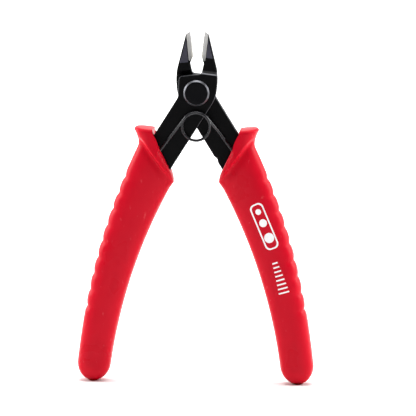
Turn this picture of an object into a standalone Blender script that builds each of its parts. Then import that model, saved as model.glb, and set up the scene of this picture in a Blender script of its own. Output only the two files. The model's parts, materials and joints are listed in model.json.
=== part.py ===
"""Flush cutter: two lap-jointed steel halves on one rivet, a wire return spring and two moulded grips.

Metres, +Z up. The tool stands open on the ends of its grips with its front towards -Y, and the origin
is on the floor midway between the grips. Both halves, both grips and their pockets are drawn with the
jaws closed and the rivet's axis as origin, and are then turned open about that axis. They are drawn for
the half whose jaw is at +X and whose leg is at -X; the other half is its mirror image.
"""

import math

import bmesh
import bpy
from mathutils import Matrix, Vector

MM = 0.001

# The joint
OPEN_ANGLE = math.radians(12.8)  # between the halves when the tool stands open
LAP_GAP = 0.2 * MM  # between the two plates
FIT_GAP = 0.3 * MM  # round anything that sits in a moulded pocket
RUNNING_GAP = 0.06 * MM  # round the rivet's shank
SEAT_GAP = 0.1 * MM  # under each rivet head

# The steel halves
PLATE = 2.5 * MM
JAW_LENGTH = 21.4 * MM  # rivet's axis to the jaw tips
TIP_WIDTH = 1.7 * MM
TIP_DROP = 0.95 * MM  # the tip falls away to its outer corner
TIP_RADIUS = 0.4 * MM
EDGE_GAP = 0.05 * MM  # cutting edge to the middle plane, jaws closed
EDGE_LENGTH = 8.9 * MM
THROAT_HALF_WIDTH = 1.25 * MM
THROAT_FOOT = 0.85 * MM  # its half-width at the bottom
THROAT_BOTTOM = 6.8 * MM  # above the rivet's axis
THROAT_TAPER = 2.0 * MM  # height over which the throat closes to the cutting edge
THROAT_RADIUS = 0.8 * MM
HEAD_HALF_WIDTH = 6.87 * MM
SHOULDER_HEIGHT = 6.4 * MM
SHOULDER_RADIUS = 18.0 * MM
WAIST_RADIUS = 12.0 * MM
HEEL_X = 6.2 * MM  # the head's side above the leg, at its narrowest
HEEL_RADIUS = 4.0 * MM
CORNER_X = 6.75 * MM  # the head's free top corner
CORNER_HEIGHT = 5.06 * MM
CORNER_RADIUS = 1.4 * MM
STOP_GAP = 0.32 * MM  # the free corner to the bend in the other half's jaw, standing open
JOGGLE_LENGTH = 1.45 * MM  # height over which each jaw bends to the middle plane
BEVEL_RUN = 1.55 * MM  # the cutting bevel, across the jaw's face
BEVEL_FOOT = 11.4 * MM
FACET_START = 11.8 * MM  # the ground face that thins each jaw to its tip
FACET_DEPTH = 0.9 * MM

# Legs, and the tangs that they turn into inside the grips
LEG_ANGLE = math.radians(25.5)
LEG_INNER = 6.67 * MM  # inner edge to the parallel through the rivet's axis
LEG_OUTER = 4.68 * MM
LEG_LENGTH = 27.5 * MM  # rivet's axis to the start of the tang
NICK_AT = 23.6 * MM  # small notch in the rear half's leg
NICK_LENGTH = 2.6 * MM
NICK_DEPTH = 0.45 * MM
TANG_ANGLE = math.radians(23.7)
TANG_LENGTH = 50.0 * MM
TANG_END_WIDTH = 6.0 * MM
TANG_END_RADIUS = 2.0 * MM
TANG_STEPS = 8

# The rivet
HEAD_RADIUS = 4.55 * MM
HEAD_HEIGHT = 0.75 * MM
HEAD_CHAMFER = 0.6 * MM
SHANK_RADIUS = 3.0 * MM
TAIL_RADIUS = 4.2 * MM
TAIL_HEIGHT = 0.5 * MM
TAIL_CHAMFER = 0.25 * MM
ROUND_STEPS = 48

# The grips
GRIP_RADIUS = 187.75 * MM  # the arc of the inner face
GRIP_LENGTH = 73.0 * MM  # start of the tang to the start of the rounded end
END_ROUND = 6.6 * MM  # length of the rounded end
INNER_WALL = 2.4 * MM
END_WIDTH = 11.2 * MM
TOP_WIDTH = 16.8 * MM  # at the start of the tang
WIDTH_POWER = 1.2
HALF_DEPTH = 5.0 * MM
SECTION_POWER = 2.5  # 2 is an ellipse, more is squarer
LOBE_PITCH = 5.57 * MM
LOBE_DEPTH = 0.55 * MM
FIRST_NOTCH = 9.9 * MM
NOTCHES = 9
FLANGE_TOP = 14.4 * MM  # below the rivet's axis
FLANGE_X = 20.2 * MM  # its outermost point, jaws closed
FLANGE_HALF_DEPTH = 6.4 * MM
LIP_X = 13.5 * MM  # where the flat top ends, and the lip drops and slants down the leg
LIP_DROP = 1.5 * MM
LIP_SLOPE = 1.6
MOUTH_INNER_X = 4.3 * MM
FLARE_LENGTH = 4.4 * MM
MOUTH_END = 6.0 * MM  # the first plain section, from the start of the tang
SECTION_POINTS = 20
LOBE_STEPS = 4
MOUTH_STEPS = 6
END_STEPS = 6

# The return spring
WIRE_RADIUS = 0.5 * MM
COIL_RADIUS = 4.87 * MM
COIL_DROP = 11.55 * MM  # coil centre below the rivet's axis
WIRE_GAP = 0.15 * MM  # wire to the front plate
COIL_PITCH = 1.1 * MM  # from one turn to the next, along the coil's axis
WIRE_LEG_ANGLE = math.radians(36.5)
WIRE_LEG = 24.0 * MM
WIRE_KNEE = 6.0 * MM  # along the wire's leg, where it bends to lie along the steel leg
COIL_STEPS = 46

# Worked out from the values above
OPEN_CORNER = CORNER_X * math.sin(OPEN_ANGLE) + CORNER_HEIGHT * math.cos(OPEN_ANGLE)
JOGGLE_START = OPEN_CORNER + STOP_GAP
JOGGLE_END = JOGGLE_START + JOGGLE_LENGTH
FRONT_FACE = PLATE + LAP_GAP / 2  # outer face of either plate, from the middle plane
LAYER = (PLATE + LAP_GAP) / 2  # middle of either plate, from the middle plane
COIL_SWEEP = math.tau + math.pi - 2 * WIRE_LEG_ANGLE  # a turn, and the arc over the top again
ARC_STEP = math.radians(9)
PAST = 1.0 * MM  # how far a cutter runs on past what it cuts


def clear_scene():
    for old in list(bpy.data.objects):
        bpy.data.objects.remove(old, do_unlink=True)


def make_collections():
    parts = bpy.data.collections.new("flush_cutter")
    cutters = bpy.data.collections.new("cutters")
    bpy.context.scene.collection.children.link(parts)
    bpy.context.scene.collection.children.link(cutters)
    return parts, cutters


def make_material(name, colour, metallic, roughness):
    material = bpy.data.materials.new(name)
    material.use_nodes = True
    shader = material.node_tree.nodes["Principled BSDF"]
    shader.inputs["Base Color"].default_value = (*colour, 1.0)
    shader.inputs["Metallic"].default_value = metallic
    shader.inputs["Roughness"].default_value = roughness
    return material


def add_object(name, mesh, collection, parent=None):
    obj = bpy.data.objects.new(name, mesh)
    collection.objects.link(obj)
    obj.parent = parent
    return obj


def as_cutter(obj):
    obj.hide_render = True
    obj.display_type = "WIRE"
    return obj


def cut(obj, cutter):
    modifier = obj.modifiers.new(cutter.name, "BOOLEAN")
    modifier.operation = "DIFFERENCE"
    modifier.solver = "EXACT"
    modifier.object = cutter


def round_corners(corners):
    """Points of a closed outline from its corners (x, z, radius), with an arc at each rounded one.

    An arc takes up at most half of each side that it joins.
    """
    points = []
    count = len(corners)
    for index, (x, z, radius) in enumerate(corners):
        corner = Vector((x, z))
        before = Vector(corners[index - 1][:2]) - corner
        after = Vector(corners[(index + 1) % count][:2]) - corner
        half_side = min(before.length, after.length) / 2
        before.normalize()
        after.normalize()
        turn = math.pi - before.angle(after)
        if not radius or turn < ARC_STEP / 2:
            points.append(corner)
            continue
        run = min(half_side, radius * math.tan(turn / 2))
        radius = run / math.tan(turn / 2)
        centre = corner + (before + after).normalized() * radius / math.cos(turn / 2)
        start = corner + before * run - centre
        bend = 1 if before.x * after.y - before.y * after.x < 0 else -1
        steps = max(2, math.ceil(turn / ARC_STEP))
        for step in range(steps + 1):
            points.append(centre + Matrix.Rotation(bend * turn * step / steps, 2) @ start)
    return points


def extruded(name, outline, thickness):
    """A mesh of the closed outline in X and Z, thickness deep and centred on the plane Y = 0."""
    curve = bpy.data.curves.new(name, "CURVE")
    curve.dimensions = "2D"
    curve.fill_mode = "BOTH"
    curve.extrude = thickness / 2
    spline = curve.splines.new("POLY")
    spline.points.add(len(outline) - 1)
    for point, (x, z) in zip(spline.points, outline):
        point.co = (x, z, 0, 1)
    spline.use_cyclic_u = True
    carrier = bpy.data.objects.new(name, curve)
    bpy.context.scene.collection.objects.link(carrier)
    bpy.context.view_layer.update()
    graph = bpy.context.evaluated_depsgraph_get()
    mesh = bpy.data.meshes.new_from_object(carrier.evaluated_get(graph))
    bpy.data.objects.remove(carrier, do_unlink=True)
    mesh.transform(Matrix.Rotation(math.pi / 2, 4, "X"))
    work = bmesh.new()
    work.from_mesh(mesh)
    bmesh.ops.remove_doubles(work, verts=work.verts, dist=0.001 * MM)
    bmesh.ops.recalc_face_normals(work, faces=work.faces)
    work.to_mesh(mesh)
    work.free()
    return mesh


def leg_point(along, outward):
    """A point of the straight leg: along it from the rivet's axis, and outward from its middle."""
    sine, cosine = math.sin(LEG_ANGLE), math.cos(LEG_ANGLE)
    return (-along * sine - outward * cosine, -along * cosine + outward * sine)


def leg_at(x, outward):
    """The point of the leg's edge that has this x."""
    along = (-x - outward * math.cos(LEG_ANGLE)) / math.sin(LEG_ANGLE)
    return leg_point(along, outward)


def grip_centre():
    """Centre of the grip's inner arc, which the tang's inner edge also follows."""
    x, z = leg_point(LEG_LENGTH, -LEG_INNER)
    reach = GRIP_RADIUS + INNER_WALL
    return x + reach * math.cos(TANG_ANGLE), z - reach * math.sin(TANG_ANGLE)


def grip_point(along, across):
    """A point of the grip: along its inner arc from the start of the tang, across from that arc."""
    centre_x, centre_z = grip_centre()
    angle = TANG_ANGLE - along / GRIP_RADIUS
    radius = GRIP_RADIUS + across
    return centre_x - radius * math.cos(angle), centre_z + radius * math.sin(angle)


def tang_corners(grow):
    """The tang's outline from the leg's inner edge round to its outer edge, grown all round."""
    inner, outer = [], []
    start_width = LEG_INNER + LEG_OUTER
    for step in range(TANG_STEPS + 1):
        share = step / TANG_STEPS
        along = share * (TANG_LENGTH + grow)
        width = start_width + (TANG_END_WIDTH - start_width) * share
        radius = TANG_END_RADIUS + grow if step == TANG_STEPS else 0
        inner.append((*grip_point(along, INNER_WALL - grow), radius))
        outer.append((*grip_point(along, INNER_WALL + width + grow), radius))
    return inner + outer[::-1]


def half_outline(nicked):
    corners = [
        (EDGE_GAP, JAW_LENGTH, 0),
        (TIP_WIDTH, JAW_LENGTH - TIP_DROP, TIP_RADIUS),
        (HEAD_HALF_WIDTH, SHOULDER_HEIGHT, SHOULDER_RADIUS),
        (*leg_at(HEAD_HALF_WIDTH, -LEG_INNER), WAIST_RADIUS),
    ]
    if nicked:
        corners += [
            (*leg_point(NICK_AT - NICK_LENGTH / 2, -LEG_INNER), 0),
            (*leg_point(NICK_AT, NICK_DEPTH - LEG_INNER), 0),
            (*leg_point(NICK_AT + NICK_LENGTH / 2, -LEG_INNER), 0),
        ]
    corners += tang_corners(0)
    edge_foot = JAW_LENGTH - EDGE_LENGTH
    corners += [
        (*leg_at(-HEEL_X, LEG_OUTER), HEEL_RADIUS),
        (-CORNER_X, CORNER_HEIGHT, CORNER_RADIUS),
        (THROAT_FOOT, THROAT_BOTTOM, THROAT_RADIUS),
        (THROAT_HALF_WIDTH, edge_foot - THROAT_TAPER, THROAT_RADIUS),
        (EDGE_GAP, edge_foot, 0),
    ]
    return round_corners(corners)


def joggle(mesh, layer):
    """Bends the plate so that the jaw lies in the middle plane and the rest in its own layer."""
    work = bmesh.new()
    work.from_mesh(mesh)
    for height in (JOGGLE_START, JOGGLE_END):
        everything = work.verts[:] + work.edges[:] + work.faces[:]
        bmesh.ops.bisect_plane(work, geom=everything, plane_co=(0, 0, height), plane_no=(0, 0, 1))
    for vert in work.verts:
        rise = (vert.co.z - JOGGLE_START) / (JOGGLE_END - JOGGLE_START)
        vert.co.y += layer * LAYER * (1 - min(1, max(0, rise)))
    bmesh.ops.triangulate(work, faces=[face for face in work.faces if len(face.verts) > 4])
    work.to_mesh(mesh)
    work.free()


def mirror_mesh(mesh):
    mesh.transform(Matrix.Scale(-1, 4, (1, 0, 0)))
    mesh.flip_normals()


def bore_cutter(cutters, parent):
    work = bmesh.new()
    reach = SHANK_RADIUS + RUNNING_GAP
    bmesh.ops.create_cone(
        work,
        cap_ends=True,
        segments=ROUND_STEPS,
        radius1=reach,
        radius2=reach,
        depth=2 * (FRONT_FACE + PAST),
        matrix=Matrix.Rotation(math.pi / 2, 4, "X"),
    )
    mesh = bpy.data.meshes.new("bore_cutter")
    work.to_mesh(mesh)
    work.free()
    return as_cutter(add_object("bore_cutter", mesh, cutters, parent))


def prism_cutter(name, outline, length, place, cutters, parent, mirrored=False):
    """A prism on the outline, as long as said, which place turns and moves to where it cuts."""
    mesh = extruded(name, outline, length)
    mesh.transform(place)
    if mirrored:
        mirror_mesh(mesh)
    return as_cutter(add_object(name, mesh, cutters, parent))


def bevel_cutter(cutters, parent, mirrored):
    """Leaves the cutting edge on the back of the jaw and slopes its inner face up to the front."""
    face = PLATE / 2
    spare = PAST / PLATE
    outline = [
        (EDGE_GAP - BEVEL_RUN * spare, face + PAST),
        (EDGE_GAP + BEVEL_RUN * (1 + spare), -face - PAST),
        (-2 * THROAT_HALF_WIDTH, -face - PAST),
        (-2 * THROAT_HALF_WIDTH, face + PAST),
    ]
    length = JAW_LENGTH + PAST - BEVEL_FOOT
    middle = Matrix.Translation((0, 0, BEVEL_FOOT + length / 2))
    place = middle @ Matrix.Rotation(-math.pi / 2, 4, "X")
    return prism_cutter("bevel_cutter", outline, length, place, cutters, parent, mirrored)


def facet_cutter(cutters, parent):
    """Takes a wedge off the front of the jaw, from nothing at its foot to its full depth at the tip."""
    face = -PLATE / 2
    slope = FACET_DEPTH / (JAW_LENGTH - FACET_START)
    top = JAW_LENGTH + PAST
    outline = [
        (face - PAST * slope, FACET_START - PAST),
        (face + (top - FACET_START) * slope, top),
        (face - 2 * PAST, top),
        (face - 2 * PAST, FACET_START - PAST),
    ]
    sideways = Matrix.Rotation(math.pi / 2, 4, "Z")
    length = 2 * (HEAD_HALF_WIDTH + PAST)
    return prism_cutter("facet_cutter", outline, length, sideways, cutters, parent)


def make_half(name, layer, nicked, parent, parts, cutters, material):
    """A stamped half. The front one (layer -1) has its jaw at +X, and the rear one is mirrored."""
    mirrored = layer > 0
    mesh = extruded(name, half_outline(nicked), PLATE)
    joggle(mesh, layer)
    if mirrored:
        mirror_mesh(mesh)
    mesh.materials.append(material)
    half = add_object(name, mesh, parts, parent)
    cut(half, bore_cutter(cutters, parent))
    cut(half, bevel_cutter(cutters, parent, mirrored))
    cut(half, facet_cutter(cutters, parent))
    return half


def make_rivet(parent, parts, material):
    """Turned about its own +Z, which then points to the front of the tool."""
    seat = FRONT_FACE + SEAT_GAP
    top = seat + HEAD_HEIGHT
    foot = -seat - TAIL_HEIGHT
    profile = [
        (0, top),
        (HEAD_RADIUS - HEAD_CHAMFER, top),
        (HEAD_RADIUS, top - HEAD_CHAMFER),
        (HEAD_RADIUS, seat),
        (SHANK_RADIUS, seat),
        (SHANK_RADIUS, -seat),
        (TAIL_RADIUS, -seat),
        (TAIL_RADIUS, foot + TAIL_CHAMFER),
        (TAIL_RADIUS - TAIL_CHAMFER, foot),
        (0, foot),
    ]
    mesh = bpy.data.meshes.new("pivot_rivet")
    edges = [(index, index + 1) for index in range(len(profile) - 1)]
    mesh.from_pydata([(x, 0, z) for x, z in profile], edges, [])
    mesh.materials.append(material)
    rivet = add_object("pivot_rivet", mesh, parts, parent)
    rivet.rotation_euler = (math.pi / 2, 0, 0)
    turned = rivet.modifiers.new("turned", "SCREW")
    turned.steps = ROUND_STEPS
    turned.render_steps = ROUND_STEPS
    turned.use_merge_vertices = True
    turned.merge_threshold = 0.01 * MM
    return rivet


def grip_width(along):
    share = max(0, 1 - along / GRIP_LENGTH)
    return END_WIDTH + (TOP_WIDTH - END_WIDTH) * share**WIDTH_POWER


def notch(along):
    """1 at the bottom of a notch and 0 on top of a lobe or away from them."""
    place = (along - FIRST_NOTCH) / LOBE_PITCH
    if place < -0.5 or place > NOTCHES - 0.5:
        return 0
    return (1 - abs(math.sin(math.pi * place))) ** 1.5


def squared(value):
    """Turns a cosine or sine into that of a superellipse."""
    return math.copysign(abs(value) ** (2 / SECTION_POWER), value)


def skin_point(along, angle, shrink=1):
    """A point of the grip's surface. Angle 0 faces outward and a quarter turn faces the back."""
    width = grip_width(along)
    across = width / 2 * (1 + shrink * squared(math.cos(angle)))
    across -= LOBE_DEPTH * notch(along) * max(0, math.cos(angle))
    x, z = grip_point(along, across)
    return Vector((x, HALF_DEPTH * shrink * squared(math.sin(angle)), z))


def rim_point(angle):
    """A point of the flared rim: flat on top of the flange, then slanting down along the leg."""
    share = (1 - squared(math.cos(angle))) / 2
    x = -FLANGE_X + (FLANGE_X - MOUTH_INNER_X) * share
    past_top = max(0, x + LIP_X)
    z = -FLANGE_TOP - min(LIP_DROP, 2 * past_top) - LIP_SLOPE * past_top
    depth = FLANGE_HALF_DEPTH + (HALF_DEPTH - FLANGE_HALF_DEPTH) * share
    return Vector((x, depth * squared(math.sin(angle)), z))


def mouth_ring(share, angles):
    """A ring between the first plain section (share 0) and the rim (share 1)."""
    centre_x, centre_z = grip_centre()
    ring = []
    for angle in angles:
        rim = rim_point(angle)
        rim_along = (TANG_ANGLE - math.atan2(rim.z - centre_z, centre_x - rim.x)) * GRIP_RADIUS
        flare = rim - skin_point(rim_along, angle)
        left = (1 - share) * (MOUTH_END - rim_along)
        fade = max(0, 1 - left / FLARE_LENGTH) ** 2
        ring.append(skin_point(MOUTH_END + (rim_along - MOUTH_END) * share, angle) + flare * fade)
    return ring


def grip_rings():
    """Rings of points from the rim to the rounded end."""
    angles = [math.tau * (index + 0.5) / SECTION_POINTS for index in range(SECTION_POINTS)]
    rings = [mouth_ring(1 - (step / MOUTH_STEPS) ** 1.5, angles) for step in range(MOUTH_STEPS)]
    step = LOBE_PITCH / LOBE_STEPS
    last_notch = FIRST_NOTCH + LOBE_PITCH * NOTCHES
    plain = [MOUTH_END]
    along = FIRST_NOTCH - LOBE_PITCH / 2
    while along < last_notch:
        plain.append(along)
        along += step
    while along < GRIP_LENGTH - step:
        plain.append(along)
        along += 3 * step
    rings += [[skin_point(along, angle) for angle in angles] for along in plain]
    for index in range(END_STEPS):
        turn = math.pi / 2 * index / END_STEPS
        along = GRIP_LENGTH + END_ROUND * math.sin(turn)
        rings.append([skin_point(along, angle, math.cos(turn)) for angle in angles])
    return rings


def close_end(work, ring, flip):
    """Closes a ring with strips that run from its front to its back."""
    count = len(ring)
    for index in range(count // 2 - 1):
        strip = [ring[index], ring[index + 1], ring[count - 2 - index], ring[count - 1 - index]]
        work.faces.new(strip[::-1] if flip else strip)


def grip_mesh(name, mirrored):
    """The moulding without its pocket: a loft between sections that change from a rim to an end."""
    work = bmesh.new()
    rings = [[work.verts.new(point) for point in ring] for ring in grip_rings()]
    for ring, following in zip(rings, rings[1:]):
        for index in range(SECTION_POINTS):
            after = (index + 1) % SECTION_POINTS
            work.faces.new((ring[index], ring[after], following[after], following[index]))
    close_end(work, rings[0], False)
    close_end(work, rings[-1], True)
    bmesh.ops.triangulate(work, faces=work.faces)
    bmesh.ops.recalc_face_normals(work, faces=work.faces)
    mesh = bpy.data.meshes.new(name)
    work.to_mesh(mesh)
    work.free()
    if mirrored:
        mirror_mesh(mesh)
    mesh.shade_smooth()
    return mesh


def pocket_cutter(layer, cutters, parent):
    """The tang and the leg above it, grown by the fit gap and run on out of the grip's mouth."""
    top = HEAD_HALF_WIDTH
    corners = [(*leg_point(top, -LEG_INNER - FIT_GAP), 0)]
    corners += tang_corners(FIT_GAP)
    corners += [(*leg_point(top, LEG_OUTER + FIT_GAP), 0)]
    mesh = extruded("pocket_cutter", round_corners(corners), PLATE + 2 * FIT_GAP)
    mesh.transform(Matrix.Translation((0, layer * LAYER, 0)))
    if layer > 0:
        mirror_mesh(mesh)
    return as_cutter(add_object("pocket_cutter", mesh, cutters, parent))


def wire_leg(side):
    """The spring's leg on this side, from the rivet's axis: where it leaves the coil, its knee, its end."""
    sine, cosine = math.sin(WIRE_LEG_ANGLE), math.cos(WIRE_LEG_ANGLE)
    back = -FRONT_FACE - WIRE_GAP - WIRE_RADIUS
    leaves = back - COIL_PITCH * COIL_SWEEP / math.tau if side < 0 else back
    lies = back if side < 0 else LAP_GAP / 2 - WIRE_GAP - WIRE_RADIUS
    start = Vector((side * COIL_RADIUS * cosine, leaves, COIL_RADIUS * sine - COIL_DROP))
    way = Vector((side * sine, 0, -cosine))
    knee, end = start + way * WIRE_KNEE, start + way * WIRE_LEG
    knee.y = end.y = lies
    return start, knee, end


def channel_cutter(side, cutters, axle):
    """A round channel for the spring's leg, in the grip on this side."""
    _, mouth, end = wire_leg(side)
    way = (end - mouth).normalized()
    foot = end + way * FIT_GAP
    work = bmesh.new()
    bmesh.ops.create_cone(
        work,
        cap_ends=True,
        segments=12,
        radius1=WIRE_RADIUS + FIT_GAP,
        radius2=WIRE_RADIUS + FIT_GAP,
        depth=(foot - mouth).length,
        matrix=Matrix.Translation((mouth + foot) / 2) @ way.to_track_quat("Z", "Y").to_matrix().to_4x4(),
    )
    mesh = bpy.data.meshes.new("channel_cutter")
    work.to_mesh(mesh)
    work.free()
    return as_cutter(add_object("channel_cutter", mesh, cutters, axle))


def make_grip(name, layer, parent, axle, parts, cutters, material):
    mesh = grip_mesh(name, layer > 0)
    mesh.materials.append(material)
    grip = add_object(name, mesh, parts, parent)
    cut(grip, pocket_cutter(layer, cutters, parent))
    cut(grip, channel_cutter(layer, cutters, axle))
    return grip


def make_spring(axle, parts, material):
    """One wire: a leg, a turn and a third over the top of the coil, and the other leg."""
    first, first_knee, first_end = wire_leg(-1)
    last, last_knee, last_end = wire_leg(1)
    start_angle = math.pi - WIRE_LEG_ANGLE
    points = [first_end, first_knee]
    for step in range(COIL_STEPS + 1):
        share = step / COIL_STEPS
        angle = start_angle - COIL_SWEEP * share
        x = COIL_RADIUS * math.cos(angle)
        z = COIL_RADIUS * math.sin(angle) - COIL_DROP
        points.append(Vector((x, first.y + (last.y - first.y) * share, z)))
    points += [last_knee, last_end]
    curve = bpy.data.curves.new("return_spring", "CURVE")
    curve.dimensions = "3D"
    curve.bevel_depth = WIRE_RADIUS
    curve.bevel_resolution = 2
    curve.use_fill_caps = True
    spline = curve.splines.new("POLY")
    spline.points.add(len(points) - 1)
    for place, point in zip(spline.points, points):
        place.co = (*point, 1)
    curve.materials.append(material)
    return add_object("return_spring", curve, parts, axle)


def lowest(mesh, turn):
    """The lowest height of the mesh's points once it is turned."""
    return min((turn @ vert.co).z for vert in mesh.vertices)


def main():
    clear_scene()
    parts, cutters = make_collections()
    steel = make_material("black_oxide_steel", (0.012, 0.012, 0.014), 0.85, 0.38)
    rivet_steel = make_material("rivet_steel", (0.30, 0.30, 0.31), 1.0, 0.32)
    wire_steel = make_material("spring_wire", (0.10, 0.10, 0.11), 1.0, 0.30)
    plastic = make_material("red_grip_plastic", (0.55, 0.012, 0.025), 0.0, 0.36)

    axle = add_object("rivet_axis", None, parts)
    front_pivot = add_object("front_pivot", None, parts, axle)
    rear_pivot = add_object("rear_pivot", None, parts, axle)
    front_pivot.rotation_euler = (0, OPEN_ANGLE / 2, 0)
    rear_pivot.rotation_euler = (0, -OPEN_ANGLE / 2, 0)

    make_half("front_half", -1, False, front_pivot, parts, cutters, steel)
    make_half("rear_half", 1, True, rear_pivot, parts, cutters, steel)
    make_rivet(axle, parts, rivet_steel)
    make_spring(axle, parts, wire_steel)
    left = make_grip("left_grip", -1, front_pivot, axle, parts, cutters, plastic)
    make_grip("right_grip", 1, rear_pivot, axle, parts, cutters, plastic)
    axle.location = (0, 0, -lowest(left.data, Matrix.Rotation(OPEN_ANGLE / 2, 3, "Y")))


main()
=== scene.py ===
# %% [markdown]
# # A flush cutter for electronics work
#
# The real tool is two stamped steel halves on one large rivet, a wire spring that opens them, and two
# moulded plastic grips. The imported CAD model holds the same six pieces as plain solids. This lesson
# builds each piece again with the detail that the eye expects: rounded stamped edges, a two-step
# ground cutting edge, a turned rivet, a drawn wire and a moulded skin.
#
# The first cell loads the CAD model as a fixed frame. Every finished piece later takes the place of
# one CAD solid, and each but the spring moves with that solid's body; the spring is not attached to
# any. Only the printed mark is an addition: it replaces nothing, and rides with the grip that it is
# printed on.

# %% Load the CAD model
import json
import math

import bmesh
import bpy
import numpy as np
from mathutils import Matrix, Quaternion, Vector
from mathutils.bvhtree import BVHTree

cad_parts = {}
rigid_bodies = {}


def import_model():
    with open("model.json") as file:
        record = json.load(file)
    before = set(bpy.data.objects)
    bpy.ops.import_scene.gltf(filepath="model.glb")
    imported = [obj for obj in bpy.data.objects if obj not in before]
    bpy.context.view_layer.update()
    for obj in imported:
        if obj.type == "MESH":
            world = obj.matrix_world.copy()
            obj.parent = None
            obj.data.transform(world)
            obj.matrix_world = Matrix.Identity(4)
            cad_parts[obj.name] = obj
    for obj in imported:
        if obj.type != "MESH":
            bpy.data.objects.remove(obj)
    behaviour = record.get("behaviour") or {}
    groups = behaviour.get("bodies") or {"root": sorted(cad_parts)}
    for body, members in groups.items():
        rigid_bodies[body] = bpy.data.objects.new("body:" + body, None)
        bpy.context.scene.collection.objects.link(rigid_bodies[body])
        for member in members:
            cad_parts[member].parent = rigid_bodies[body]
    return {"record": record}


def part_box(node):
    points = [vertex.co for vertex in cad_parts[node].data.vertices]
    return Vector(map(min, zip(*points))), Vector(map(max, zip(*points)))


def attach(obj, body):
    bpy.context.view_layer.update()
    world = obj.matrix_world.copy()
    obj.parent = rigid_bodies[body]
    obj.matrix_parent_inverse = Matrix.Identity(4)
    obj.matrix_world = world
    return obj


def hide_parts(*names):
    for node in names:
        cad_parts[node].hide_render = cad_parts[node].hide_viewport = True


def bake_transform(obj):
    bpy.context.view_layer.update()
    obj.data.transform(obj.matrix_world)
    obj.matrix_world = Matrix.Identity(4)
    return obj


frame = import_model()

MM = 0.001
TINY = 0.01 * MM  # points closer than this count as one place
FRONT, REAR = -1, 1  # the two halves, by the side of the middle plane that their plate lies on
BODY = {FRONT: "front_body", REAR: "rear_body"}
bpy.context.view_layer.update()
joint = frame["record"]["behaviour"]["joints"][0]
PIVOT = Vector(joint["pos_m"])
OPEN_ANGLE = math.radians(joint["range_deg"][1])

# %% [markdown]
# ## Where things go
#
# Both halves are the same shape, one the mirror image of the other, and they are easiest to draw with
# the jaws closed and the rivet's axis at the origin. So every outline below is drawn for the half
# whose jaw is at +X. `put_in_place` then mirrors it if need be, turns it open by half of the opening
# angle and lifts it to the rivet. The object itself is never moved: its place is in its mesh.

# %% Put a mesh in its place, and turn it into a piece
def put_in_place(mesh, layer):
    """Takes a mesh that is drawn closed and about the rivet to where its half is."""
    mirror = Matrix.Scale(-1, 4, (1, 0, 0)) if layer == REAR else Matrix.Identity(4)
    opened = Matrix.Rotation(-layer * OPEN_ANGLE / 2, 4, "Y")
    mesh.transform(Matrix.Translation(PIVOT) @ opened @ mirror)
    if layer == REAR:
        mesh.flip_normals()


def show(name, mesh):
    """An object in the scene with this mesh."""
    piece = bpy.data.objects.new(name, mesh)
    bpy.context.scene.collection.objects.link(piece)
    return piece


def evaluated_mesh(piece):
    """The piece's mesh with its modifiers applied. The piece itself is then removed."""
    graph = bpy.context.evaluated_depsgraph_get()
    mesh = bpy.data.meshes.new_from_object(piece.evaluated_get(graph))
    bpy.data.objects.remove(piece, do_unlink=True)
    return mesh


def mesh_of(name, points, faces):
    """A mesh from its points and faces, with every face turned outwards."""
    mesh = bpy.data.meshes.new(name)
    mesh.from_pydata([tuple(point) for point in points], [], faces)
    work = bmesh.new()
    work.from_mesh(mesh)
    bmesh.ops.recalc_face_normals(work, faces=work.faces)
    work.to_mesh(mesh)
    work.free()
    return mesh


# %% Compare a piece with the CAD solid that it replaces
def report(piece, node):
    points = np.array([vert.co for vert in piece.data.vertices])
    low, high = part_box(node)
    off = np.abs(np.array([points.min(0) - low, points.max(0) - high])).max() / MM
    print(f"{piece.name}: {len(piece.data.polygons)} faces, box within {off:.2f} mm of {node}")


# %% [markdown]
# ## Finishes
#
# Every finish is a Principled shader with small changes driven by noise on object coordinates, so
# that the pattern stays on the piece when the piece moves. A real surface is never one value all over:
# oxide is blotchy, ground steel has scratches that run one way, and moulded plastic has a fine
# orange-peel skin. `Finish` keeps the node-building short enough to read.

# %% A short way to write a finish
def plug(links, socket, value):
    """Links a node's input to another node's output, or sets it to a plain value."""
    if isinstance(value, bpy.types.NodeSocket):
        links.new(value, socket)
    else:
        socket.default_value = value


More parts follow.
